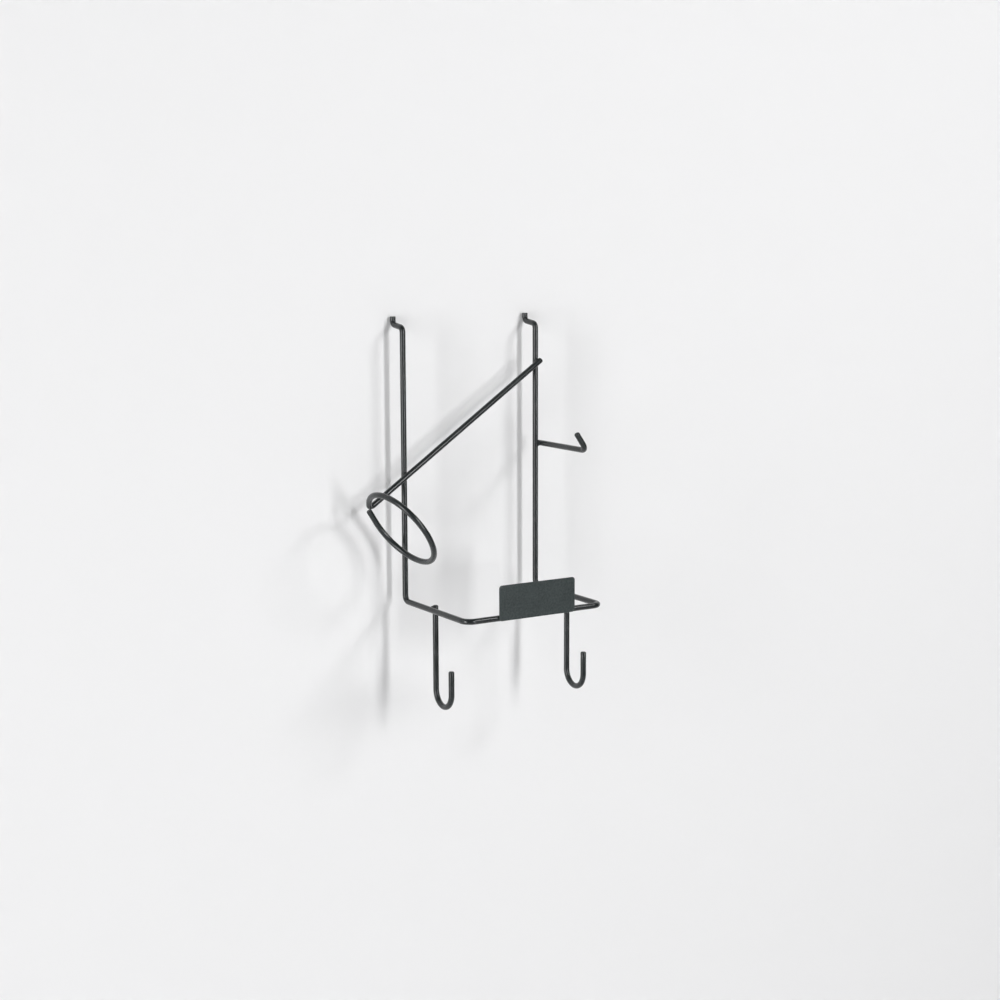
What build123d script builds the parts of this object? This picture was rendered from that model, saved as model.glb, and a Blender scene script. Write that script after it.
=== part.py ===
from build123d import *

import os
from math import atan2, cos, degrees, hypot, radians, sin

# Wall mounted power tool organizer, a welded rack of bent round wire, in millimetres.
# +Z is up, +Y runs to the rear and X runs across the rack.
# The origin lies midway between the two rear hooks: on the plane of the uprights' backs in Y,
# and at the corner where each hook leaves its upright in Z.

# Wire and welds
wire_diameter = 4.8         # round wire with its powder coat
weld_gap = 0.1              # daylight between two wires at a weld, which the weld metal bridges
weld_radius = 2.9           # round pad of weld metal at a crossing of two wires
weld_height = 2.7           # how far the pad reaches up the flanks of both wires, in all
tip_chamfer = 0.9           # broken edge at a wire's free end, which a hand can touch
wire_overrun = 3.0          # wire that passes its last weld

# Main frame: hooks, uprights, side arms and front bar in one wire
frame_spacing = 130.0       # between the centrelines of the uprights
upright_height = 229.0      # from the corner of the hooks down to the side arms
arm_reach = 101.0           # from the uprights out to the front bar
foot_bend = 5.5             # bend where an upright becomes a side arm
front_bend = 8.0            # bend where a side arm becomes the front bar
hook_step = 16.8            # how far the hooks reach back behind the uprights
hook_rise = 2.2             # how much the hook's run climbs on the way back
hook_height = 8.8           # top of the hooks above their corner
hook_bend = 4.2             # bends of the hooks

# Brace across the uprights, and the open ring at its low end
brace_low_height = 106.5    # above the side arms, where it crosses the left upright
brace_high_drop = 32.7      # below the hooks' corner, where it crosses the right upright
ring_corner_reach = 35.3    # from the left upright out to the corner where the ring begins
ring_corner_bend = 4.5      # bend at that corner
ring_radius = 35.4          # to the centreline of the wire
ring_lead = 5.0             # from the corner to the ring's round part
ring_free_end = 12.9        # straight wire at the ring's open end
ring_turn = 5.6             # degrees that the ring faces away from square to the brace
ring_corner_angle = 31.6    # degrees round the ring from its rearmost point to the corner
ring_end_angle = 365.7      # degrees round the ring where its round part ends

# Support hook on the right upright
support_height = 125.6      # above the side arms
support_reach = 72.0        # from the upright out to the corner of the hook
support_bend = 7.5
support_tip = 18.6          # length of the turned-up end

# Cord hooks under the side arms
cord_hook_setback = 42.5    # from the uprights out to the stems
cord_hook_stub = 3.4        # stem above the centreline of the side arm
cord_hook_drop = 79.8       # from the side arms down to the foot of the J
cord_hook_width = 25.5      # between the stem and the turned-up leg
cord_hook_leg = 32.5        # height of the leg above the foot of the J

# Label plate on the front bar
plate_width = 72.5
plate_height = 29.1
plate_thickness = 1.2
plate_corner = 2.5
plate_drop = 1.9            # lower edge below the centreline of the front bar
plate_weld_radius = 1.7     # bead in the notch between the bar and the plate
plate_weld_length = 9.0
plate_weld_spacing = 46.0   # between the two beads

# Places worked out from the sizes above
wire_radius = wire_diameter / 2
weld_pitch = wire_diameter + weld_gap
upright_y = -wire_radius
left_x = -frame_spacing / 2
right_x = frame_spacing / 2
arm_z = -upright_height
front_y = upright_y - arm_reach

hook_y = upright_y + hook_step
hook_corner_z = hook_rise

brace_y = upright_y - weld_pitch
brace_low_z = arm_z + brace_low_height
brace_high_z = -brace_high_drop
brace_slope = (brace_high_z - brace_low_z) / frame_spacing
brace_tilt = degrees(atan2(brace_high_z - brace_low_z, frame_spacing))


def on_brace(x):
    """Point on the centreline of the brace at a given x."""
    return Vector(x, brace_y, brace_low_z + (x - left_x) * brace_slope)


def round_ring(radius, angle):
    """Point in the plane of the ring, at a radius and an angle in degrees round it."""
    return Vector(radius * cos(radians(angle)), radius * sin(radians(angle)))


# The ring's axis follows the brace, turned a little to the rear
brace_direction = Vector(cos(radians(brace_tilt)), 0, sin(radians(brace_tilt)))
ring_axis = brace_direction * cos(radians(ring_turn)) + Vector(0, sin(radians(ring_turn)), 0)
ring_rear = Vector(0, 1, 0) - ring_axis * ring_axis.Y

# The ring's corner lies on the brace, outside the circle, and a tangent runs from it to the ring
ring_corner = on_brace(left_x - ring_corner_reach)
ring_corner_plane = Plane(origin=ring_corner, x_dir=ring_rear, z_dir=ring_axis)
ring_corner_distance = hypot(ring_radius, ring_lead)
ring_centre = ring_corner_plane.from_local_coords(-round_ring(ring_corner_distance, ring_corner_angle))
ring_plane = Plane(origin=ring_centre, x_dir=ring_rear, z_dir=ring_axis)
ring_start_angle = ring_corner_angle + degrees(atan2(ring_lead, ring_radius))
ring_start = ring_plane.from_local_coords(round_ring(ring_radius, ring_start_angle))
right_angle = 90

support_x = right_x + weld_pitch
support_z = arm_z + support_height
support_corner = Vector(support_x, upright_y - support_reach, support_z)
support_up = Vector(-sin(radians(brace_tilt)), 0, cos(radians(brace_tilt)))

cord_hook_y = upright_y - cord_hook_setback
cord_hook_radius = cord_hook_width / 2

plate_back_y = front_y - wire_radius - weld_gap
plate_centre_z = arm_z - plate_drop + plate_height / 2


# Main frame
frame_corners = [
    (left_x, hook_y, hook_height),
    (left_x, hook_y, hook_corner_z),
    (left_x, upright_y, 0),
    (left_x, upright_y, arm_z),
    (left_x, front_y, arm_z),
    (right_x, front_y, arm_z),
    (right_x, upright_y, arm_z),
    (right_x, upright_y, 0),
    (right_x, hook_y, hook_corner_z),
    (right_x, hook_y, hook_height),
]
frame_bends = [
    hook_bend,
    hook_bend,
    foot_bend,
    front_bend,
    front_bend,
    foot_bend,
    hook_bend,
    hook_bend,
]

with BuildPart() as main_frame:
    with BuildLine() as frame_path:
        FilletPolyline(*frame_corners, radius=frame_bends)
    with BuildSketch(Plane(origin=frame_path.line @ 0, z_dir=frame_path.line % 0)):
        Circle(wire_radius)
    sweep()


# Brace and tool ring, one wire from its weld on the right upright to the ring's open end
with BuildPart() as tool_ring_brace:
    with BuildLine() as brace_path:
        FilletPolyline(on_brace(right_x + wire_overrun), ring_corner, ring_start, radius=ring_corner_bend)
    with BuildLine(ring_plane):
        ring_round = CenterArc((0, 0), ring_radius, ring_start_angle, ring_end_angle - ring_start_angle)
        Line(ring_round @ 1, ring_round @ 1 + (ring_round % 1) * ring_free_end)
    with BuildSketch(Plane(origin=brace_path.line @ 0, z_dir=brace_path.line % 0)):
        Circle(wire_radius)
    sweep()
    chamfer(tool_ring_brace.faces().filter_by(GeomType.PLANE).edges(), tip_chamfer)


# Support hook, straight out from the right upright and up at its end, square to the brace
with BuildPart() as tool_support_hook:
    with BuildLine() as support_path:
        FilletPolyline(
            (support_x, upright_y + wire_radius, support_z),
            support_corner,
            support_corner + support_up * support_tip,
            radius=support_bend,
        )
    with BuildSketch(Plane(origin=support_path.line @ 0, z_dir=support_path.line % 0)):
        Circle(wire_radius)
    sweep()
    chamfer(tool_support_hook.faces().filter_by(GeomType.PLANE).edges(), tip_chamfer)


# Cord hooks, both on the right-hand side of their arm; the sketch plane has x to the front, y up
cord_hooks = {}
for side, arm_x in (("left", left_x), ("right", right_x)):
    cord_hook_x = arm_x + weld_pitch
    hook_plane = Plane(origin=(cord_hook_x, cord_hook_y, arm_z), x_dir=(0, -1, 0), z_dir=(-1, 0, 0))
    bowl_centre = (cord_hook_radius, cord_hook_radius - cord_hook_drop)
    with BuildPart() as cord_hook:
        with BuildLine(hook_plane) as hook_path:
            Line((0, cord_hook_stub), (0, cord_hook_radius - cord_hook_drop))
            CenterArc(bowl_centre, cord_hook_radius, 2 * right_angle, right_angle)
            CenterArc(bowl_centre, cord_hook_radius, 3 * right_angle, right_angle)
            Line(
                (cord_hook_width, cord_hook_radius - cord_hook_drop),
                (cord_hook_width, cord_hook_leg - cord_hook_drop),
            )
        with BuildSketch(Plane(origin=hook_path.line @ 0, z_dir=hook_path.line % 0)):
            Circle(wire_radius)
        sweep()
        chamfer(cord_hook.faces().filter_by(GeomType.PLANE).edges(), tip_chamfer)
    cord_hook.part.label = side + "_cord_hook"
    cord_hooks[side] = cord_hook.part


# Label plate, its back against the front bar; the sketch plane faces the front
plate_plane = Plane(origin=(0, plate_back_y, plate_centre_z), x_dir=(1, 0, 0), z_dir=(0, -1, 0))
with BuildPart() as label_plate:
    with BuildSketch(plate_plane):
        RectangleRounded(plate_width, plate_height, plate_corner)
    extrude(amount=plate_thickness)


# Weld metal: a round pad at each crossing of two wires, squeezed out between their flanks
half_pitch = weld_pitch / 2
brace_wire = tool_ring_brace.part
rearwards = Vector(0, 1, 0)
sideways = Vector(1, 0, 0)
crossing_welds = [
    (on_brace(left_x) + rearwards * half_pitch, rearwards, brace_wire),
    (on_brace(right_x) + rearwards * half_pitch, rearwards, brace_wire),
    (Vector(right_x + half_pitch, upright_y, support_z), sideways, tool_support_hook.part),
    (Vector(left_x + half_pitch, cord_hook_y, arm_z), sideways, cord_hooks["left"]),
    (Vector(right_x + half_pitch, cord_hook_y, arm_z), sideways, cord_hooks["right"]),
]
beads = []
for weld_centre, across, welded_wire in crossing_welds:
    with BuildPart() as crossing_pad:
        with Locations(Plane(origin=weld_centre, z_dir=across)):
            Cylinder(weld_radius, weld_height)
        add(main_frame.part, mode=Mode.SUBTRACT)
        add(welded_wire, mode=Mode.SUBTRACT)
    beads.append(crossing_pad.part)

# Two short beads lie in the notch between the top of the front bar and the back of the plate
for side in (-1, 1):
    notch = (side * plate_weld_spacing / 2, plate_back_y + wire_radius / 2, arm_z + wire_radius)
    with BuildPart() as plate_bead:
        with Locations(notch):
            Cylinder(plate_weld_radius, plate_weld_length, rotation=(0, right_angle, 0))
        split(bisect_by=Plane(origin=(0, plate_back_y, 0), z_dir=(0, 1, 0)))
        add(main_frame.part, mode=Mode.SUBTRACT)
    beads.append(plate_bead.part)

with BuildPart() as weld_beads:
    add(beads)


main_frame.part.label = "main_frame"
tool_ring_brace.part.label = "tool_ring_brace"
tool_support_hook.part.label = "tool_support_hook"
label_plate.part.label = "label_plate"
weld_beads.part.label = "weld_beads"

os.makedirs("parts", exist_ok=True)
export_step(main_frame.part, "parts/main_frame.step")
export_step(tool_ring_brace.part, "parts/tool_ring_brace.step")
export_step(tool_support_hook.part, "parts/tool_support_hook.step")
export_step(cord_hooks["left"], "parts/left_cord_hook.step")
export_step(cord_hooks["right"], "parts/right_cord_hook.step")
export_step(label_plate.part, "parts/label_plate.step")
export_step(weld_beads.part, "parts/weld_beads.step")
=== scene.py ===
"""Looks of a wall mounted organizer, a welded rack of bent round wire.

Each wire is bent as by hand: a disc of wire is pulled out straight and spun round each bend.
The weld metal is run in where two pieces meet, the label plate is cut and its edges broken, and
all of it is powder coated. Sizes are in millimetres and meshes in metres, in the part's own frame.
"""

import logging
import math
from dataclasses import dataclass, field
from enum import Enum
from typing import Callable

import bmesh
import bpy
from mathutils import Matrix, Vector


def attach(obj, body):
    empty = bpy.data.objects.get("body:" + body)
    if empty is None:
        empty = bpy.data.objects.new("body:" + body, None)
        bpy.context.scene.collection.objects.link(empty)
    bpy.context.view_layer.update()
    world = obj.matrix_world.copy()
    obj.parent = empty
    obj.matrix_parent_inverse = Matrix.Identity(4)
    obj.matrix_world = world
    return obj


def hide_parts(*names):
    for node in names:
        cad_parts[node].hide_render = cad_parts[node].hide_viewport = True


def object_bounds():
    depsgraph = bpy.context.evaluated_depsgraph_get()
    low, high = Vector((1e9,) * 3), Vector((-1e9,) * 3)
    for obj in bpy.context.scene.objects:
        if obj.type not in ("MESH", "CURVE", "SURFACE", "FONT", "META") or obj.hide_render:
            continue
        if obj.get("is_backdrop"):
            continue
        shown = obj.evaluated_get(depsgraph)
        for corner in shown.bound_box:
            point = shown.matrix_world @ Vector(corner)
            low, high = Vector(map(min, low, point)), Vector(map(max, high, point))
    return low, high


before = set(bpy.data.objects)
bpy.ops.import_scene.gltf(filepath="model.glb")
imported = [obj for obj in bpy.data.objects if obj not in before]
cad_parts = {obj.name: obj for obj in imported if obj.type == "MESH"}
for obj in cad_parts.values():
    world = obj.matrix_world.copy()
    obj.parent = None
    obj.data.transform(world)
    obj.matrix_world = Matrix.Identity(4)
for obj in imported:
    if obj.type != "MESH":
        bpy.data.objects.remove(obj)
CAD_BOX = [list(corner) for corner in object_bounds()]

log = logging.getLogger("wire_rack")

MM = 0.001
MICRON = MM / 1000
RIGHT_ANGLE = 90.0
BODY = "root"
UP = Vector((0, 0, 1))
REAR = Vector((0, 1, 0))
RIGHTWARDS = Vector((1, 0, 0))
NEARLY_ALONG = 0.9  # least share along an axis for a direction that counts as along it
QUAD_CORNERS = 4
ROUND_PROFILE = 0.5

Socket = bpy.types.NodeSocket
Colour = tuple[float, float, float]
Place = tuple[float, float, float]
Span = tuple[float, float]

OPAQUE = 1.0
WHITE: Colour = (1.0, 1.0, 1.0)
NONE_TO_ALL: Span = (0.0, 1.0)
ALL_TO_NONE: Span = (1.0, 0.0)


class Side(Enum):
    """Side of the rack as seen from the front; the value is its direction along X."""

    LEFT = -1
    RIGHT = 1

    @property
    def word(self) -> str:
        """The side as it stands in names."""
        return self.name.lower()


class WireEnd(Enum):
    """How a wire's two ends are finished; the value is the broken edge's width in millimetres."""

    SAWN = 0.35
    ROUNDED = 1.3


class Look(Enum):
    """How the powder cured; the value is the size of its ripples in millimetres."""

    SATIN = 1.6
    FINE_TEXTURE = 0.9


class Noise(Enum):
    """Noise in the coat; the value is how many finer layers it has, and how strong they are."""

    RIPPLE = (1.5, 0.4)
    GRAIN = (3.0, 0.6)
    DRIFT = (2.0, 0.5)
    SCUFFS = (4.0, 0.65)


# Handling of meshes


def deselect_all() -> None:
    """Leave edit mode and deselect every object."""
    if bpy.context.object and bpy.context.object.mode != "OBJECT":
        bpy.ops.object.mode_set(mode="OBJECT")
    bpy.ops.object.select_all(action="DESELECT")


def take(piece: bpy.types.Object) -> None:
    """Make a piece the only selected object, and the active one."""
    deselect_all()
    piece.select_set(True)
    bpy.context.view_layer.objects.active = piece


def edit_all(piece: bpy.types.Object) -> None:
    """Open a piece in edit mode with all of its mesh selected."""
    take(piece)
    bpy.ops.object.mode_set(mode="EDIT")
    bpy.ops.mesh.select_all(action="SELECT")


def apply_place(piece: bpy.types.Object, name: str) -> bpy.types.Object:
    """Move the object's place, turn and scale into its mesh, and name it.

    Args:
        piece: The object.
        name: Its name, and its mesh's.

    Returns:
        The same object, now the only selected one.
    """
    take(piece)
    bpy.ops.object.transform_apply(location=True, rotation=True, scale=True)
    piece.name = name
    piece.data.name = name
    return piece


def join_all(pieces: list[bpy.types.Object], name: str) -> bpy.types.Object:
    """Join pieces into one.

    Args:
        pieces: The pieces; the first one takes in the rest.
        name: Name of the whole.

    Returns:
        The one object, with its place in its mesh.
    """
    take(pieces[0])
    for piece in pieces[1:]:
        piece.select_set(True)
    bpy.ops.object.join()
    return apply_place(pieces[0], name)


def select_edges(piece: bpy.types.Object, wanted: Callable[[bmesh.types.BMEdge], bool]) -> None:
    """Select only the edges that a test picks, in edit mode.

    Args:
        piece: The object being edited.
        wanted: Test that returns True for an edge to select.
    """
    bpy.ops.mesh.select_mode(type="EDGE")
    bpy.ops.mesh.select_all(action="DESELECT")
    mesh = bmesh.from_edit_mesh(piece.data)
    for edge in mesh.edges:
        if wanted(edge):
            edge.select_set(True)
    bmesh.update_edit_mesh(piece.data)


def select_faces(piece: bpy.types.Object, wanted: Callable[[bmesh.types.BMFace], bool]) -> None:
    """Select only the faces that a test picks, in edit mode.

    Args:
        piece: The object being edited.
        wanted: Test that returns True for a face to select.
    """
    bpy.ops.mesh.select_mode(type="FACE")
    bpy.ops.mesh.select_all(action="DESELECT")
    mesh = bmesh.from_edit_mesh(piece.data)
    for face in mesh.faces:
        if wanted(face):
            face.select_set(True)
    bmesh.update_edit_mesh(piece.data)


def round_edges(width: float, steps: int) -> None:
    """Round the selected edges, in edit mode.

    Args:
        width: How far the rounding reaches from each edge, in metres.
        steps: Flats across it.
    """
    bpy.ops.mesh.bevel(offset=width, segments=steps, profile=ROUND_PROFILE, affect="EDGES")


def apply_modifier(piece: bpy.types.Object, kind: str, **settings: object) -> None:
    """Add a modifier to a piece, set it up and apply it.

    Args:
        piece: The object that gets the modifier.
        kind: Blender's name for the kind of modifier.
        **settings: Values for the modifier's own fields.
    """
    modifier = piece.modifiers.new(kind.lower(), kind)
    for name, value in settings.items():
        setattr(modifier, name, value)
    take(piece)
    bpy.ops.object.modifier_apply(modifier=modifier.name)


def smooth(piece: bpy.types.Object, angle: float) -> None:
    """Shade a piece smooth, with edges sharper than an angle in degrees left crisp."""
    take(piece)
    bpy.ops.object.shade_smooth_by_angle(angle=math.radians(angle))


# Finishes


class NodeSheet:
    """A node tree that is filled in step by step."""

    def __init__(self, tree: bpy.types.NodeTree) -> None:
        """Start from an empty tree."""
        self.tree = tree
        self.tree.nodes.clear()

    def add(self, kind: str, **settings: object) -> bpy.types.Node:
        """Add a node.

        Args:
            kind: Blender's type of node.
            **settings: Values for the node's own fields.

        Returns:
            The new node.
        """
        node = self.tree.nodes.new(kind)
        for name, value in settings.items():
            setattr(node, name, value)
        return node

    def feed(self, target: Socket, source: object) -> None:
        """Link a socket to an input, or set the input to a fixed value.

        Args:
            target: The input.
            source: A socket, a number, a vector or a colour.
        """
        if isinstance(source, Socket):
            self.tree.links.new(source, target)
        elif target.type == "RGBA":
            target.default_value = (*source, OPAQUE)
        else:
            target.default_value = source

    def math(self, operation: str, first: object, second: object) -> Socket:
        """Do one sum on two values.

        Args:
            operation: Blender's name for the sum.
            first: A socket, or a number.
            second: A socket, or a number.

        Returns:
            The socket with the result.
        """
        node = self.add("ShaderNodeMath", operation=operation)
        self.feed(node.inputs[0], first)
        self.feed(node.inputs[1], second)
        return node.outputs[0]

    def noise(self, place: Socket, scale: object, kind: Noise) -> Socket:
        """Add a noise texture, about 0.5 in the middle.

        Args:
            place: Where on the piece.
            scale: A socket, or a number, in waves per metre.
            kind: Which noise it is, for its finer layers.

        Returns:
            The socket with the noise.
        """
        detail, roughness = kind.value
        node = self.add("ShaderNodeTexNoise")
        self.feed(node.inputs["Vector"], place)
        self.feed(node.inputs["Scale"], scale)
        self.feed(node.inputs["Detail"], detail)
        self.feed(node.inputs["Roughness"], roughness)
        return node.outputs["Fac"]

    def ramp(self, value: Socket, start: Span, end: Span) -> Socket:
        """Map a value softly from one range to another.

        Args:
            value: The socket with the value.
            start: Its low and high end.
            end: What these become.

        Returns:
            The socket with the mapped value.
        """
        node = self.add("ShaderNodeMapRange", interpolation_type="SMOOTHSTEP", clamp=True)
        self.feed(node.inputs["Value"], value)
        for socket, number in zip(("From Min", "From Max", "To Min", "To Max"), (*start, *end)):
            self.feed(node.inputs[socket], number)
        return node.outputs["Result"]

    def blend(self, share: Socket, first: object, second: object) -> Socket:
        """Mix two colours.

        Args:
            share: How much of the second.
            first: A colour or a socket.
            second: A colour or a socket.

        Returns:
            The socket with the mixed colour.
        """
        node = self.add("ShaderNodeMix", data_type="RGBA")
        self.feed(node.inputs["Factor"], share)
        places = [socket for socket in node.inputs if socket.type == "RGBA"]
        self.feed(places[0], first)
        self.feed(places[1], second)
        return next(socket for socket in node.outputs if socket.type == "RGBA")

    def mix_shaders(self, share: Socket, first: Socket, second: Socket) -> Socket:
        """Mix two shaders.

        Args:
            share: How much of the second.
            first: The first shader.
            second: The second shader.

        Returns:
            The socket with the mixed shader.
        """
        node = self.add("ShaderNodeMixShader")
        for target, source in zip(node.inputs, (share, first, second)):
            self.feed(target, source)
        return node.outputs["Shader"]


def open_group(name: str, inputs: dict[str, str], outputs: tuple[str, ...]) -> NodeSheet:
    """Make an empty shader node group that puts out values.

    Args:
        name: Its name.
        inputs: Name to type of each input.
        outputs: Names of its outputs.

    Returns:
        The sheet that fills it in.
    """
    group = bpy.data.node_groups.new(name, "ShaderNodeTree")
    for socket, kind in inputs.items():
        group.interface.new_socket(name=socket, in_out="INPUT", socket_type=kind)
    for socket in outputs:
        group.interface.new_socket(name=socket, in_out="OUTPUT", socket_type="NodeSocketFloat")
    return NodeSheet(group)


DRIFT_SCALE = 60.0  # waves per metre
SCUFF_SCALE = 800.0  # waves per metre
MIDDLE_OF_NOISE: Span = (0.3, 0.7)
EDGE_OF_SCUFFS: Span = (0.35, 0.65)
SCUFF_STRENGTH: Span = (0.35, 1.0)


def powder_surface() -> bpy.types.NodeTree:
    """Surface of cured powder: soft ripples, fine grain, and a slow drift of tone.

    Returns:
        The node group, built once.
    """
    name = "powder_surface"
    if name in bpy.data.node_groups:
        return bpy.data.node_groups[name]
    inputs = {
        "Vector": "NodeSocketVector",
        "Ripple Size": "NodeSocketFloat",
        "Ripple Depth": "NodeSocketFloat",
        "Grain Size": "NodeSocketFloat",
        "Grain Depth": "NodeSocketFloat",
    }
    sheet = open_group(name, inputs, ("Height", "Grain", "Drift"))
    given = sheet.add("NodeGroupInput").outputs
    result = sheet.add("NodeGroupOutput").inputs
    place = given["Vector"]
    ripple = sheet.noise(place, sheet.math("DIVIDE", 1.0, given["Ripple Size"]), Noise.RIPPLE)
    grain = sheet.noise(place, sheet.math("DIVIDE", 1.0, given["Grain Size"]), Noise.GRAIN)
    drift = sheet.noise(place, DRIFT_SCALE, Noise.DRIFT)
    ripple_height = sheet.math("MULTIPLY", ripple, given["Ripple Depth"])
    grain_height = sheet.math("MULTIPLY", grain, given["Grain Depth"])
    sheet.feed(result["Height"], sheet.math("ADD", ripple_height, grain_height))
    sheet.feed(result["Grain"], sheet.ramp(grain, MIDDLE_OF_NOISE, NONE_TO_ALL))
    sheet.feed(result["Drift"], sheet.ramp(drift, MIDDLE_OF_NOISE, NONE_TO_ALL))
    return sheet.tree


def rubbed_spot() -> bpy.types.NodeTree:
    """Mask of a worn spot, on the plate's corners partly a painted glint: strongest at its centre,
    broken up at its rim.

    Returns:
        The node group, built once.
    """
    name = "rubbed_spot"
    if name in bpy.data.node_groups:
        return bpy.data.node_groups[name]
    inputs = {
        "Vector": "NodeSocketVector",
        "Centre": "NodeSocketVector",
        "Reach": "NodeSocketFloat",
    }
    sheet = open_group(name, inputs, ("Mask",))
    given = sheet.add("NodeGroupInput").outputs
    result = sheet.add("NodeGroupOutput").inputs
    away = sheet.add("ShaderNodeVectorMath", operation="DISTANCE")
    sheet.feed(away.inputs[0], given["Vector"])
    sheet.feed(away.inputs[1], given["Centre"])
    share = sheet.math("DIVIDE", away.outputs["Value"], given["Reach"])
    near = sheet.ramp(share, NONE_TO_ALL, ALL_TO_NONE)
    scuffs = sheet.noise(given["Vector"], SCUFF_SCALE, Noise.SCUFFS)
    broken = sheet.math("MULTIPLY", near, sheet.ramp(scuffs, EDGE_OF_SCUFFS, SCUFF_STRENGTH))
    sheet.feed(result["Mask"], broken)
    return sheet.tree


@dataclass(frozen=True)
class RubbedSpot:
    """A place, in millimetres, where what hangs on the rack polishes its coat paler; on the label
    plate's corners that paler spot is partly a painted glint.
    """

    centre: Place
    reach: float


@dataclass(frozen=True)
class PowderCoat:
    """Black powder coat over steel, for the pieces of one slot; its depths are in millimetres."""

    slot: str
    look: Look = Look.SATIN
    colour: Colour = (0.0115, 0.0140, 0.0145)
    pale: Colour = (0.0180, 0.0215, 0.0220)
    # paler colour of the spots: wear where things rub, and on the label plate's corners partly a
    # painted glint
    rubbed: Colour = (0.032, 0.036, 0.037)
    roughness: float = 0.24
    roughness_spread: float = 0.08
    rubbed_roughness: float = 0.16
    ripple_depth: float = 0.010
    grain_size: float = 0.30
    grain_depth: float = 0.0008
    grain_share: float = 0.35
    ior: float = 1.5
    spots: tuple[RubbedSpot, ...] = ()

    def material(self) -> bpy.types.Material:
        """Make the slot's material, or take the one that another piece already has.

        Returns:
            The material.
        """
        name = f"powder_on_{self.slot}"
        if name in bpy.data.materials:
            return bpy.data.materials[name]
        material = bpy.data.materials.new(name)
        material.use_nodes = True
        sheet = NodeSheet(material.node_tree)
        place = sheet.add("ShaderNodeTexCoord").outputs["Object"]
        powder = self._powder(sheet, place)
        grain = sheet.math("MULTIPLY", powder["Grain"], self.grain_share)
        drift = sheet.math("MULTIPLY", powder["Drift"], 1 - self.grain_share)
        tone = sheet.math("ADD", grain, drift)
        colour = sheet.blend(tone, self.colour, self.pale)
        half = self.roughness_spread / 2
        roughness = sheet.ramp(tone, NONE_TO_ALL, (self.roughness - half, self.roughness + half))
        # the spots are painted paler and made smoother: wear, and on the plate's corners partly a
        # painted glint
        for spot in self.spots:
            mask = self._mask(sheet, place, spot)
            colour = sheet.blend(mask, colour, self.rubbed)
            change = sheet.math("MULTIPLY", mask, self.rubbed_roughness - self.roughness)
            roughness = sheet.math("ADD", roughness, change)

        bump = sheet.add("ShaderNodeBump")
        sheet.feed(bump.inputs["Strength"], 1.0)
        sheet.feed(bump.inputs["Distance"], 1.0)
        sheet.feed(bump.inputs["Height"], powder["Height"])
        shader = sheet.add("ShaderNodeBsdfPrincipled")
        sheet.feed(shader.inputs["IOR"], self.ior)
        sheet.feed(shader.inputs["Base Color"], colour)
        sheet.feed(shader.inputs["Roughness"], roughness)
        sheet.feed(shader.inputs["Normal"], bump.outputs["Normal"])
        output = sheet.add("ShaderNodeOutputMaterial")
        sheet.feed(output.inputs["Surface"], shader.outputs["BSDF"])
        return material

    def _powder(self, sheet: NodeSheet, place: Socket) -> bpy.types.NodeOutputs:
        """Place the powder's surface in the material.

        Args:
            sheet: The material's nodes.
            place: Where on the piece.

        Returns:
            The outputs of the node group.
        """
        powder = sheet.add("ShaderNodeGroup", node_tree=powder_surface())
        sheet.feed(powder.inputs["Vector"], place)
        sheet.feed(powder.inputs["Ripple Size"], self.look.value * MM)
        sheet.feed(powder.inputs["Ripple Depth"], self.ripple_depth * MM)
        sheet.feed(powder.inputs["Grain Size"], self.grain_size * MM)
        sheet.feed(powder.inputs["Grain Depth"], self.grain_depth * MM)
        return powder.outputs

    def _mask(self, sheet: NodeSheet, place: Socket, spot: RubbedSpot) -> Socket:
        """Place the mask of one rubbed spot in the material.

        Args:
            sheet: The material's nodes.
            place: Where on the piece.
            spot: The spot.

        Returns:
            The socket with the mask.
        """
        rubbed = sheet.add("ShaderNodeGroup", node_tree=rubbed_spot())
        sheet.feed(rubbed.inputs["Vector"], place)
        sheet.feed(rubbed.inputs["Centre"], Vector(spot.centre) * MM)
        sheet.feed(rubbed.inputs["Reach"], spot.reach * MM)
        return rubbed.outputs["Mask"]


# Bending of wire


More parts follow.
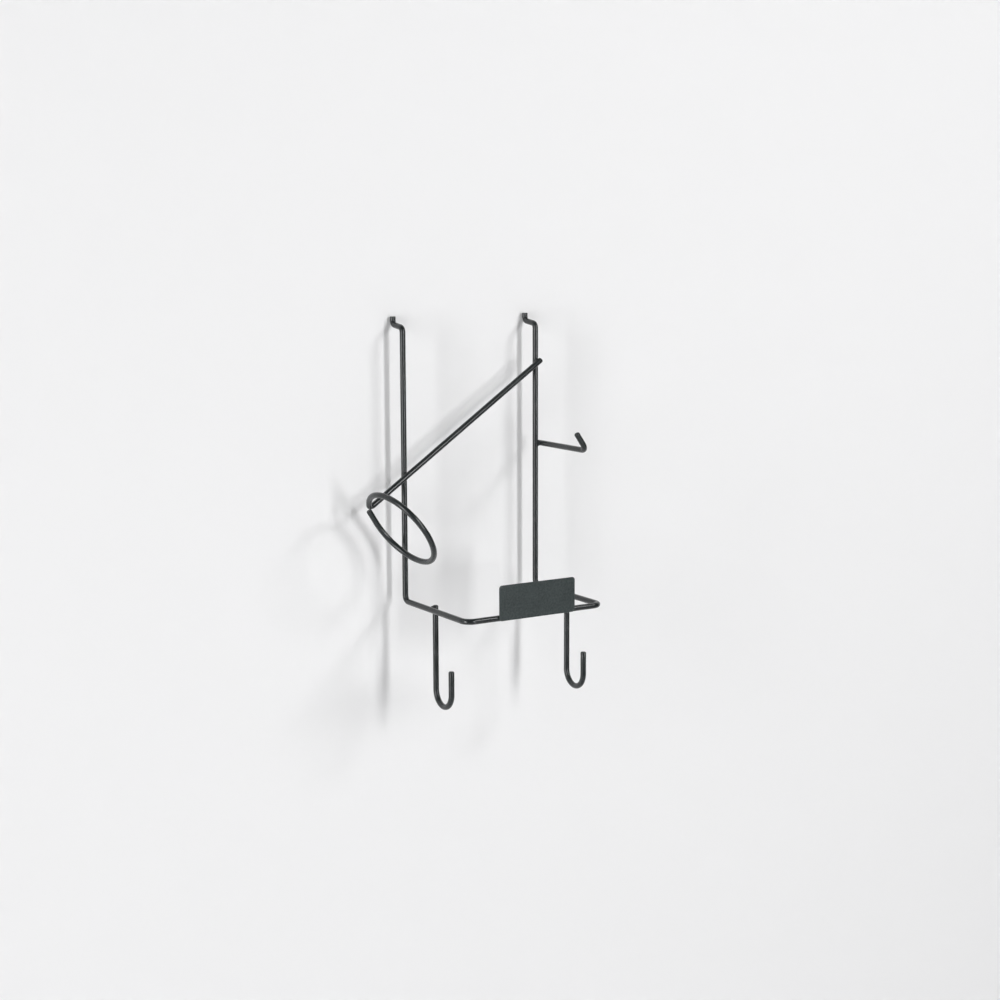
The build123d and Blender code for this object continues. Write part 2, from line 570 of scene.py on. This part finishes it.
@dataclass
class WireBender:
    """Bends one round wire, run by run, from a disc at its start; sizes are in millimetres."""

    name: str
    radius: float
    ends: WireEnd = WireEnd.ROUNDED
    sides: int = 48
    steps_per_turn: int = 120
    fewest_steps: int = 8  # in a bend, however slight
    run_length: float = 12.0  # between two rings of points on a straight run
    end_steps: int = 6
    cap_inset: float = 0.06  # rim that keeps the flat of an end evenly shaded
    crease: float = 60.0  # in degrees
    wire: bpy.types.Object | None = field(default=None, init=False)
    here: Vector = field(default_factory=Vector, init=False)

    def start(self, at: Vector, towards: Vector) -> None:
        """Lay a filled disc square to the first run, and leave it selected in edit mode.

        Args:
            at: Centre of the wire's first end.
            towards: Any point further along the first run.
        """
        deselect_all()
        bpy.ops.mesh.primitive_circle_add(
            vertices=self.sides,
            radius=self.radius * MM,
            fill_type="NGON",
            location=at * MM,
            rotation=(towards - at).to_track_quat("Z", "Y").to_euler(),
        )
        self.wire = apply_place(bpy.context.object, self.name)
        self.here = at.copy()
        edit_all(self.wire)

    def pull_to(self, point: Vector) -> None:
        """Draw the wire straight on to a point, in lengths of about one run length."""
        whole = point - self.here
        lengths = max(1, round(whole.length / self.run_length))
        for _ in range(lengths):
            bpy.ops.mesh.extrude_region_move(
                TRANSFORM_OT_translate={"value": whole * MM / lengths},
            )
        self.here = point.copy()

    def bend(self, centre: Vector, axis: Vector, turn: float) -> None:
        """Spin the wire's end round a centre; the operator turns left-handed, so the axis flips.

        Args:
            centre: Centre of the bend.
            axis: Its axis, by the right-hand rule.
            turn: How far it turns, in radians.
        """
        steps = max(self.fewest_steps, round(self.steps_per_turn * turn / math.tau))
        bpy.ops.mesh.spin(steps=steps, angle=turn, center=centre * MM, axis=-axis)
        self.here = centre + Matrix.Rotation(turn, 3, axis) @ (self.here - centre)

    def follow(self, corners: list[Vector], bends: list[float]) -> None:
        """Run through corners, with a round bend of its own radius at each inner one.

        Args:
            corners: The corners, the first of which is where the wire now ends.
            bends: Radius of the wire's centreline at each inner corner.
        """
        for before, corner, after, radius in zip(corners, corners[1:], corners[2:], bends):
            arrive = (corner - before).normalized()
            leave = (after - corner).normalized()
            turn = arrive.angle(leave)
            axis = arrive.cross(leave).normalized()
            tangent = corner - arrive * radius * math.tan(turn / 2)
            self.pull_to(tangent)
            self.bend(tangent + axis.cross(arrive) * radius, axis, turn)
        self.pull_to(corners[-1])

    def finish(self) -> bpy.types.Object:
        """Break the edges of both ends and turn all faces outwards.

        Returns:
            The finished wire, with its place in its mesh.
        """
        wire = self.wire
        sides = self.sides
        select_edges(wire, lambda edge: any(len(face.verts) == sides for face in edge.link_faces))
        round_edges(self.ends.value * MM, self.end_steps)
        select_faces(wire, lambda face: len(face.verts) == sides)
        bpy.ops.mesh.inset(thickness=self.cap_inset * MM)
        bpy.ops.mesh.poke()
        bpy.ops.mesh.select_all(action="SELECT")
        bpy.ops.mesh.remove_doubles(threshold=MICRON)
        bpy.ops.mesh.normals_make_consistent(inside=False)
        smooth(wire, self.crease)
        return wire


# Sizes that several pieces share


@dataclass(frozen=True)
class RackPlan:
    """Sizes in millimetres; the origin lies between the hooks, level with the uprights' backs."""

    wire: float = 4.8
    weld_gap: float = 0.1  # daylight that the weld metal bridges
    spacing: float = 130.0  # between the uprights' centrelines
    height: float = 229.0  # from the hooks' corner down to the side arms
    reach: float = 101.0  # from the uprights out to the front bar
    brace_low: float = 106.5  # above the side arms, where it crosses the left upright
    brace_high_drop: float = 32.7  # below the hooks' corner, where it crosses the right one

    @property
    def radius(self) -> float:
        """Radius of the coated wire."""
        return self.wire / 2

    @property
    def pitch(self) -> float:
        """Distance between the centrelines of two wires at a weld."""
        return self.wire + self.weld_gap

    @property
    def upright_y(self) -> float:
        """Centreline of the uprights, whose backs lie at the origin's depth."""
        return -self.radius

    @property
    def front_y(self) -> float:
        """Centreline of the front bar."""
        return self.upright_y - self.reach

    @property
    def arm_z(self) -> float:
        """Centreline of the side arms and the front bar."""
        return -self.height

    @property
    def plate_back_y(self) -> float:
        """Plane of the label plate's back."""
        return self.front_y - self.radius - self.weld_gap

    @property
    def brace_line(self) -> Vector:
        """Direction of the brace, up to the right."""
        rise = self.height - self.brace_high_drop - self.brace_low
        return Vector((self.spacing, 0, rise)).normalized()

    def arm_x(self, side: Side) -> float:
        """Centreline of one upright and its side arm."""
        return side.value * self.spacing / 2

    def on_brace(self, x: float) -> Vector:
        """Find a point on the centreline of the brace.

        Args:
            x: Where along the rack's width.

        Returns:
            The point, in millimetres.
        """
        line = self.brace_line
        low = self.arm_z + self.brace_low
        along = x - self.arm_x(Side.LEFT)
        return Vector((x, self.upright_y - self.pitch, low + along * line.z / line.x))


# The pieces


@dataclass
class RackPiece:
    """One separate piece of the rack, which stands for one node of the CAD model."""

    plan: RackPlan
    node: str = ""
    coat: PowderCoat = PowderCoat("frame_coat")
    mesh: bpy.types.Object | None = field(default=None, init=False)

    def build(self) -> None:
        """Model the piece; each kind of piece has its own way."""
        raise NotImplementedError

    def dress(self) -> None:
        """Coat the piece, ride it on the rack and let it stand for its CAD node."""
        piece = self.mesh
        piece.data.materials.clear()
        piece.data.materials.append(self.coat.material())
        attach(piece, BODY)
        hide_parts(self.node)
        triangles = sum(len(face.vertices) - 2 for face in piece.data.polygons)
        log.info("%s: %d triangles, for %s, %s", piece.name, triangles, self.node, self.coat.slot)


@dataclass
class MainFrame(RackPiece):
    """Hooks, uprights, side arms and front bar, bent from one wire."""

    node: str = "main_frame"
    coat: PowderCoat = PowderCoat(
        "frame_coat",
        spots=(
            RubbedSpot((-65.0, 11.0, -1.0), 6.0),
            RubbedSpot((65.0, 11.0, -1.0), 6.0),
            RubbedSpot((-65.0, 12.0, 7.5), 4.0),
            RubbedSpot((65.0, 12.0, 7.5), 4.0),
        ),
    )
    hook_step: float = 16.8  # how far the hooks reach back behind the uprights
    hook_rise: float = 2.2  # how much the hook's run climbs on the way back
    hook_height: float = 8.8  # of the hooks above their corner
    hook_bend: float = 4.2
    foot_bend: float = 5.5
    front_bend: float = 8.0

    def corners(self, side: Side) -> list[Vector]:
        """List the corners of one half of the frame.

        Args:
            side: Which half.

        Returns:
            The corners from the hook's tip to the front corner.
        """
        plan = self.plan
        x = plan.arm_x(side)
        hook_y = plan.upright_y + self.hook_step
        return [
            Vector((x, hook_y, self.hook_height)),
            Vector((x, hook_y, self.hook_rise)),
            Vector((x, plan.upright_y, 0)),
            Vector((x, plan.upright_y, plan.arm_z)),
            Vector((x, plan.front_y, plan.arm_z)),
        ]

    def build(self) -> None:
        """Bend the wire from the left hook round to the right one."""
        half_bends = [self.hook_bend, self.hook_bend, self.foot_bend, self.front_bend]
        corners = self.corners(Side.LEFT) + self.corners(Side.RIGHT)[::-1]
        bender = WireBender("main_frame_wire", self.plan.radius, WireEnd.SAWN)
        bender.start(corners[0], corners[1])
        bender.follow(corners, half_bends + half_bends[::-1])
        self.mesh = bender.finish()


@dataclass
class BraceAndRing(RackPiece):
    """Brace across the uprights whose low end runs round as an open ring."""

    node: str = "tool_ring_brace"
    coat: PowderCoat = PowderCoat(
        "brace_coat",
        spots=(RubbedSpot((-69.0, -36.0, -187.5), 13.0), RubbedSpot((-84.0, -9.0, -168.0), 9.0)),
    )
    overrun: float = 3.0  # of wire past the right upright
    corner_reach: float = 35.3  # from the left upright out to the corner before the ring
    corner_bend: float = 4.5
    ring_radius: float = 35.4
    run_in: float = 5.0  # from that corner to the ring's round part
    free_end: float = 12.9  # straight wire after the round part
    turn: float = 5.6  # degrees that the ring faces away from square to the brace
    corner_angle: float = 31.6  # degrees round the ring from its rearmost point to the corner
    end_angle: float = 365.7  # degrees round the ring where its round part ends

    def build(self) -> None:
        """Bend the wire from its weld on the right upright to the ring's open end."""
        plan = self.plan
        turn = math.radians(self.turn)
        axis = plan.brace_line * math.cos(turn) + REAR * math.sin(turn)
        rear = (REAR - axis * axis.y).normalized()
        across = axis.cross(rear)
        corner_angle = math.radians(self.corner_angle)
        start_angle = corner_angle + math.atan2(self.run_in, self.ring_radius)
        corner = plan.on_brace(plan.arm_x(Side.LEFT) - self.corner_reach)
        outwards = rear * math.cos(corner_angle) + across * math.sin(corner_angle)
        centre = corner - outwards * math.hypot(self.ring_radius, self.run_in)
        first = rear * math.cos(start_angle) + across * math.sin(start_angle)
        far_end = plan.on_brace(plan.arm_x(Side.RIGHT) + self.overrun)

        bender = WireBender("tool_ring_wire", plan.radius)
        bender.start(far_end, corner)
        bender.follow([far_end, corner, centre + first * self.ring_radius], [self.corner_bend])
        bender.bend(centre, axis, math.radians(self.end_angle) - start_angle)
        tangent = axis.cross(bender.here - centre).normalized()
        bender.pull_to(bender.here + tangent * self.free_end)
        self.mesh = bender.finish()


@dataclass
class SupportHook(RackPiece):
    """Rod from the right upright to the front, with a tip turned up square to the brace."""

    node: str = "tool_support_hook"
    # The slot also coats both cord hooks, and the last two spots are in their bowls
    coat: PowderCoat = PowderCoat(
        "hook_coat",
        spots=(
            RubbedSpot((69.9, -44.0, -101.0), 15.0),
            RubbedSpot((-60.1, -57.5, -306.5), 9.0),
            RubbedSpot((69.9, -57.5, -306.5), 9.0),
        ),
    )
    height: float = 125.6  # above the side arms
    reach: float = 72.0  # from the upright out to the corner of the hook
    bend: float = 7.5
    tip: float = 18.6  # length of the turned-up end

    @property
    def weld(self) -> Vector:
        """Where the rod's centreline passes the upright."""
        plan = self.plan
        x = plan.arm_x(Side.RIGHT) + plan.pitch
        return Vector((x, plan.upright_y, plan.arm_z + self.height))

    def build(self) -> None:
        """Bend the rod from its root to its tip."""
        line = self.plan.brace_line
        upwards = Vector((-line.z, 0, line.x))
        root = self.weld + REAR * self.plan.radius
        corner = self.weld - REAR * self.reach
        bender = WireBender("support_hook_wire", self.plan.radius)
        bender.start(root, corner)
        bender.follow([root, corner, corner + upwards * self.tip], [self.bend])
        self.mesh = bender.finish()


@dataclass
class CordHook(RackPiece):
    """One J under a side arm, welded on the arm's right-hand flank."""

    side: Side = Side.LEFT
    coat: PowderCoat = SupportHook.coat
    setback: float = 42.5  # from the uprights out to the stem
    stub: float = 3.4  # stem above the side arm's centreline
    drop: float = 79.8  # from the side arm down to the foot of the J
    width: float = 25.5  # between the stem and the leg
    leg: float = 32.5  # height of the leg above the foot of the J

    def __post_init__(self) -> None:
        """Take the CAD node's name from the side."""
        self.node = f"{self.side.word}_cord_hook"

    @property
    def weld(self) -> Vector:
        """Where the stem's centreline passes the arm."""
        plan = self.plan
        x = plan.arm_x(self.side) + plan.pitch
        return Vector((x, plan.upright_y - self.setback, plan.arm_z))

    def build(self) -> None:
        """Bend the J from the top of its stem to the tip of its leg."""
        bowl = self.width / 2
        stem_foot = self.weld - UP * (self.drop - bowl)
        bender = WireBender(f"{self.node}_wire", self.plan.radius)
        bender.start(self.weld + UP * self.stub, stem_foot)
        bender.pull_to(stem_foot)
        bender.bend(stem_foot - REAR * bowl, -RIGHTWARDS, math.pi)
        bender.pull_to(bender.here + UP * (self.leg - bowl))
        self.mesh = bender.finish()


@dataclass
class LabelPlate(RackPiece):
    """Small flat plate with round corners, upright in front of the front bar."""

    node: str = "label_plate"
    coat: PowderCoat = PowderCoat(
        "plate_coat",
        look=Look.FINE_TEXTURE,
        colour=(0.006, 0.0135, 0.0135),
        pale=(0.031, 0.043, 0.043),
        roughness=0.48,
        ripple_depth=0.016,
        grain_size=1.7,
        grain_depth=0.014,
        grain_share=0.8,
        # the pale corner spots, largest at the top-left, are part wear and part a painted glint on
        # the rounded edge
        rubbed=(0.055, 0.063, 0.064),
        spots=(
            RubbedSpot((-35.4, -107.0, -202.6), 3.2),
            RubbedSpot((35.4, -107.0, -202.6), 2.2),
            RubbedSpot((-35.4, -107.0, -230.1), 2.2),
            RubbedSpot((35.4, -107.0, -230.1), 2.2),
        ),
    )
    width: float = 72.5
    height: float = 29.1
    thickness: float = 1.2
    corner: float = 2.5
    drop: float = 1.9  # lower edge below the front bar's centreline
    broken_edge: float = 0.50
    corner_steps: int = 12
    edge_steps: int = 5
    face_inset: float = 0.05  # rim that keeps the front and back evenly shaded
    crease: float = 40.0  # in degrees

    def build(self) -> None:
        """Cut the plate, round its corners, break its edges and flatten its two sides."""
        deselect_all()
        middle_y = self.plan.plate_back_y - self.thickness / 2
        middle_z = self.plan.arm_z - self.drop + self.height / 2
        bpy.ops.mesh.primitive_cube_add(
            size=1,
            location=Vector((0, middle_y, middle_z)) * MM,
            scale=Vector((self.width, self.thickness, self.height)) * MM,
        )
        plate = apply_place(bpy.context.object, "label_plate_sheet")
        bpy.ops.object.mode_set(mode="EDIT")
        select_edges(plate, self._runs_rearwards)
        round_edges(self.corner * MM, self.corner_steps)
        select_edges(plate, lambda edge: any(self._is_flat(face) for face in edge.link_faces))
        round_edges(self.broken_edge * MM, self.edge_steps)
        select_faces(plate, lambda face: self._is_flat(face) and len(face.verts) > QUAD_CORNERS)
        bpy.ops.mesh.inset(thickness=self.face_inset * MM)
        bpy.ops.mesh.poke()
        smooth(plate, self.crease)
        self.mesh = plate

    @staticmethod
    def _runs_rearwards(edge: bmesh.types.BMEdge) -> bool:
        """Tell whether an edge runs from the front to the rear."""
        run = edge.verts[0].co - edge.verts[1].co
        return abs(run.normalized().y) > NEARLY_ALONG

    @staticmethod
    def _is_flat(face: bmesh.types.BMFace) -> bool:
        """Tell whether a face lies on the plate's front or back."""
        return abs(face.normal.y) > NEARLY_ALONG


@dataclass
class WeldMetal:
    """Weld metal run in between pieces that meet, blended into them; sizes are in millimetres."""

    name: str
    centre: Vector
    across: Vector
    joined: list[RackPiece]
    radius: float = 3.0
    flatness: float = 0.75  # of the bead, on the line between the pieces
    stretch: float = 1.0  # of the bead, along the joint
    half_box: Place = (5.4, 5.4, 5.4)  # reach of the copies of the wires
    sides: int = 48
    rings: int = 24
    voxel: float = 0.18
    softening: float = 0.5  # share of each smoothing pass
    passes: int = 19

    def build(self) -> bpy.types.Object:
        """Lay a bead, join it to copies of the wires round it and melt them together.

        Returns:
            The melted weld; away from the bead it sinks just under the wires' own surface.
        """
        deselect_all()
        bpy.ops.mesh.primitive_uv_sphere_add(
            segments=self.sides,
            ring_count=self.rings,
            radius=self.radius * MM,
            location=self.centre * MM,
            rotation=self.across.to_track_quat("Z", "Y").to_euler(),
            scale=(self.stretch, 1, self.flatness),
        )
        bead = apply_place(bpy.context.object, self.name)
        bead = join_all([bead] + [self._cropped(piece.mesh) for piece in self.joined], self.name)
        voxel = self.voxel * MM
        apply_modifier(bead, "REMESH", mode="VOXEL", voxel_size=voxel, use_smooth_shade=True)
        apply_modifier(bead, "SMOOTH", factor=self.softening, iterations=self.passes)
        return bead

    def _cropped(self, wire: bpy.types.Object) -> bpy.types.Object:
        """Copy a wire and cut away all of it outside the box round the weld.

        Args:
            wire: The finished wire.

        Returns:
            The short piece of it inside the box, closed at its cuts.
        """
        copy = wire.copy()
        copy.data = wire.data.copy()
        bpy.context.scene.collection.objects.link(copy)
        for direction, reach in zip((RIGHTWARDS, REAR, UP), self.half_box):
            for outwards in (direction, -direction):
                edit_all(copy)
                bpy.ops.mesh.bisect(
                    plane_co=(self.centre + outwards * reach) * MM,
                    plane_no=outwards,
                    use_fill=True,
                    clear_outer=True,
                )
        deselect_all()
        return copy


@dataclass
class Welds(RackPiece):
    """All the weld metal: five crossings of wires and two beads behind the plate."""

    node: str = "weld_beads"
    coat: PowderCoat = PowderCoat("weld_coat", look=Look.FINE_TEXTURE, ripple_depth=0.018)
    main_frame: MainFrame | None = None
    brace: BraceAndRing | None = None
    support: SupportHook | None = None
    cord_hooks: tuple[CordHook, ...] = ()
    plate_spacing: float = 46.0  # between the two beads behind the plate
    plate_bead_radius: float = 1.15
    plate_bead_stretch: float = 3.9
    plate_bead_sink: float = 0.2  # below the top of the front bar
    plate_bead_box: Place = (7.0, 5.0, 5.4)

    def build(self) -> None:
        """Run in each weld in turn, and join them into one piece."""
        half = self.plan.pitch / 2
        welds = []
        for side in Side:
            cross = self.plan.on_brace(self.plan.arm_x(side)) + REAR * half
            joined = [self.main_frame, self.brace]
            welds.append(WeldMetal(f"{side.word}_brace_weld", cross, REAR, joined))
        for hook in (self.support, *self.cord_hooks):
            cross = hook.weld - RIGHTWARDS * half
            joined = [self.main_frame, hook]
            welds.append(WeldMetal(f"{hook.node}_weld", cross, RIGHTWARDS, joined))
        welds += [self._plate_weld(side) for side in Side]
        self.mesh = join_all([weld.build() for weld in welds], "weld_metal")

    def _plate_weld(self, side: Side) -> WeldMetal:
        """Plan one short bead in the notch between the top of the front bar and the plate's back.

        Args:
            side: Which of the two beads.

        Returns:
            The planned weld.
        """
        plan = self.plan
        notch = Vector((
            side.value * self.plate_spacing / 2,
            plan.plate_back_y + plan.radius / 2,
            plan.arm_z + plan.radius - self.plate_bead_sink,
        ))
        return WeldMetal(
            f"{side.word}_plate_weld",
            notch,
            UP,
            [self.main_frame],
            radius=self.plate_bead_radius,
            flatness=1.0,
            stretch=self.plate_bead_stretch,
            half_box=self.plate_bead_box,
        )


# Studio


@dataclass(frozen=True)
class SoftBox:
    """One soft lamp, aimed at the rack; place and size are in metres, and power in watts."""

    name: str
    place: Place
    size: tuple[float, float]
    power: float


@dataclass(frozen=True)
class Viewpoint:
    """Where the photograph was taken from; the place is in metres and the angles in degrees."""

    place: Place = (-0.74814, -1.26400, 0.06864)
    yaw: float = 31.625  # to the right
    pitch: float = 8.42  # downwards
    roll: float = 0.17  # clockwise
    focal_length: float = 62.44  # in millimetres


@dataclass
class Studio:
    """Pale sheet behind the rack and under it, soft lamps and the camera; in metres."""

    viewpoint: Viewpoint = Viewpoint()
    gap: float = 0.0012  # from the hooks' backs to the sheet
    width: float = 7.0
    top: float = 2.2  # of the sheet above the origin
    depth: float = 1.5  # of the floor below the origin
    floor_reach: float = 4.5
    fold: float = 0.35
    fold_steps: int = 24
    crease: float = 30.0  # in degrees
    paper: Colour = (0.83, 0.83, 0.835)
    paper_lift: float = 0.03  # glow that only the camera and reflections see
    ambient: float = 0.08  # light from all round
    behind_white: float = 0.90  # what the camera sees past the sheet
    fade: Span = (1.1, 1.6)  # distances over which the sheet turns into that
    target: Place = (0.0, -0.05, -0.15)
    lamps: tuple[SoftBox, ...] = (
        SoftBox("left_strip", (-3.10, -1.05, 0.08), (0.62, 2.24), 64.0),
        SoftBox("front_strip", (0.56, -2.95, 0.16), (0.27, 1.80), 42.0),
        SoftBox("high_key", (1.28, -1.80, 1.20), (0.60, 0.40), 16.0),
    )

    def build(self) -> None:
        """Set up everything that isn't part of the rack."""
        self._sheet()
        self._world()
        for lamp in self.lamps:
            self._lamp(lamp)
        self._camera()
        bpy.context.scene.view_settings.view_transform = "Standard"

    def _sheet(self) -> None:
        """Hang a sheet behind the hooks and pull its foot out into a floor, with a round fold."""
        sheet_y = CAD_BOX[1][1] + self.gap
        foot = -self.depth
        deselect_all()
        bpy.ops.mesh.primitive_plane_add(size=1, rotation=(math.pi / 2, 0, 0))
        sheet = bpy.context.object
        sheet.location = (0, sheet_y, (self.top - self.depth) / 2)
        sheet.scale = (self.width, self.top + self.depth, 1)
        apply_place(sheet, "pale_sheet")
        bpy.ops.object.mode_set(mode="EDIT")
        select_edges(sheet, lambda edge: all(abs(vert.co.z - foot) < MM for vert in edge.verts))
        pull = (0, -self.floor_reach, 0)
        bpy.ops.mesh.extrude_region_move(TRANSFORM_OT_translate={"value": pull})
        fold_line = Vector((sheet_y, foot))
        select_edges(
            sheet,
            lambda edge: all((vert.co.yz - fold_line).length < MM for vert in edge.verts),
        )
        round_edges(self.fold, self.fold_steps)
        bpy.ops.mesh.select_all(action="SELECT")
        bpy.ops.mesh.normals_make_consistent(inside=False)
        deselect_all()
        highest = max(sheet.data.polygons, key=lambda face: face.center.z)
        if highest.normal.y > 0:
            sheet.data.flip_normals()
        smooth(sheet, self.crease)
        sheet.data.materials.append(self._paper())
        sheet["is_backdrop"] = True

    def _paper(self) -> bpy.types.Material:
        """Make pale paper that keeps shadows, and that the camera sees through from behind.

        Far from the rack it fades, for the camera, into the white of the room.

        Returns:
            The material.
        """
        material = bpy.data.materials.new("pale_paper")
        material.use_nodes = True
        sheet = NodeSheet(material.node_tree)
        diffuse = sheet.add("ShaderNodeBsdfDiffuse")
        sheet.feed(diffuse.inputs["Color"], self.paper)
        lift = sheet.add("ShaderNodeEmission")
        path = sheet.add("ShaderNodeLightPath").outputs
        mirrored = sheet.math("MAXIMUM", path["Is Glossy Ray"], path["Is Transmission Ray"])
        seen = sheet.math("MAXIMUM", path["Is Camera Ray"], mirrored)
        sheet.feed(lift.inputs["Strength"], sheet.math("MULTIPLY", seen, self.paper_lift))
        lit = sheet.add("ShaderNodeAddShader")
        sheet.feed(lit.inputs[0], diffuse.outputs["BSDF"])
        sheet.feed(lit.inputs[1], lift.outputs["Emission"])
        away = sheet.add("ShaderNodeVectorMath", operation="LENGTH")
        sheet.feed(away.inputs[0], sheet.add("ShaderNodeTexCoord").outputs["Object"])
        far = sheet.ramp(away.outputs["Value"], self.fade, NONE_TO_ALL)
        seen_far = sheet.math("MULTIPLY", far, path["Is Camera Ray"])
        room = sheet.add("ShaderNodeEmission")
        sheet.feed(room.inputs["Strength"], self.behind_white)
        faded = sheet.mix_shaders(seen_far, lit.outputs["Shader"], room.outputs["Emission"])
        behind = sheet.add("ShaderNodeNewGeometry").outputs["Backfacing"]
        seen_behind = sheet.math("MULTIPLY", behind, path["Is Camera Ray"])
        clear = sheet.add("ShaderNodeBsdfTransparent")
        output = sheet.add("ShaderNodeOutputMaterial")
        surface = sheet.mix_shaders(seen_behind, faded, clear.outputs["BSDF"])
        sheet.feed(output.inputs["Surface"], surface)
        return material

    def _world(self) -> None:
        """Light the room evenly from all round, and show it to the camera as white."""
        world = bpy.data.worlds.new("pale_room")
        bpy.context.scene.world = world
        world.use_nodes = True
        sheet = NodeSheet(world.node_tree)
        room = sheet.add("ShaderNodeBackground")
        sheet.feed(room.inputs["Color"], WHITE)
        seen = sheet.add("ShaderNodeLightPath").outputs["Is Camera Ray"]
        strength = sheet.ramp(seen, NONE_TO_ALL, (self.ambient, self.behind_white))
        sheet.feed(room.inputs["Strength"], strength)
        output = sheet.add("ShaderNodeOutputWorld")
        sheet.feed(output.inputs["Surface"], room.outputs["Background"])

    def _lamp(self, lamp: SoftBox) -> None:
        """Hang one soft lamp.

        Args:
            lamp: Its place, size and power.
        """
        deselect_all()
        aim = Vector(self.target) - Vector(lamp.place)
        bpy.ops.object.light_add(
            type="AREA",
            location=lamp.place,
            rotation=aim.to_track_quat("-Z", "Y").to_euler(),
        )
        light = bpy.context.object
        light.name = lamp.name
        light.visible_camera = False
        light.data.shape = "RECTANGLE"
        light.data.size, light.data.size_y = lamp.size
        light.data.energy = lamp.power

    def _camera(self) -> None:
        """Stand the camera where the photograph was taken from."""
        view = self.viewpoint
        data = bpy.data.cameras.new("view")
        data.lens = view.focal_length
        data.sensor_fit = "HORIZONTAL"
        camera = bpy.data.objects.new("view", data)
        bpy.context.scene.collection.objects.link(camera)
        turn = (
            Matrix.Rotation(-math.radians(view.yaw), 4, "Z")
            @ Matrix.Rotation(math.radians(RIGHT_ANGLE - view.pitch), 4, "X")
            @ Matrix.Rotation(-math.radians(view.roll), 4, "Z")
        )
        camera.matrix_world = Matrix.Translation(view.place) @ turn
        bpy.context.scene.camera = camera


def write_sizes() -> None:
    """Write the CAD box and the dressed rack's box, in metres, as plain lists."""
    dressed = [list(corner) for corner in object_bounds()]
    for corner, cad, visual in zip(("lowest", "highest"), CAD_BOX, dressed):
        log.info("%s corner: cad %s, dressed %s", corner, cad, visual)


def main() -> None:
    """Build and dress the rack piece by piece, then set up the studio."""
    logging.basicConfig(level=logging.INFO, format="%(name)s: %(message)s")
    plan = RackPlan()
    main_frame = MainFrame(plan)
    brace = BraceAndRing(plan)
    support = SupportHook(plan)
    cord_hooks = tuple(CordHook(plan, side=side) for side in Side)
    plate = LabelPlate(plan)
    welds = Welds(plan, main_frame=main_frame, brace=brace, support=support, cord_hooks=cord_hooks)
    for piece in (main_frame, brace, support, *cord_hooks, plate, welds):
        piece.build()
        piece.dress()
    Studio().build()
    write_sizes()


if __name__ == "__main__":
    main()
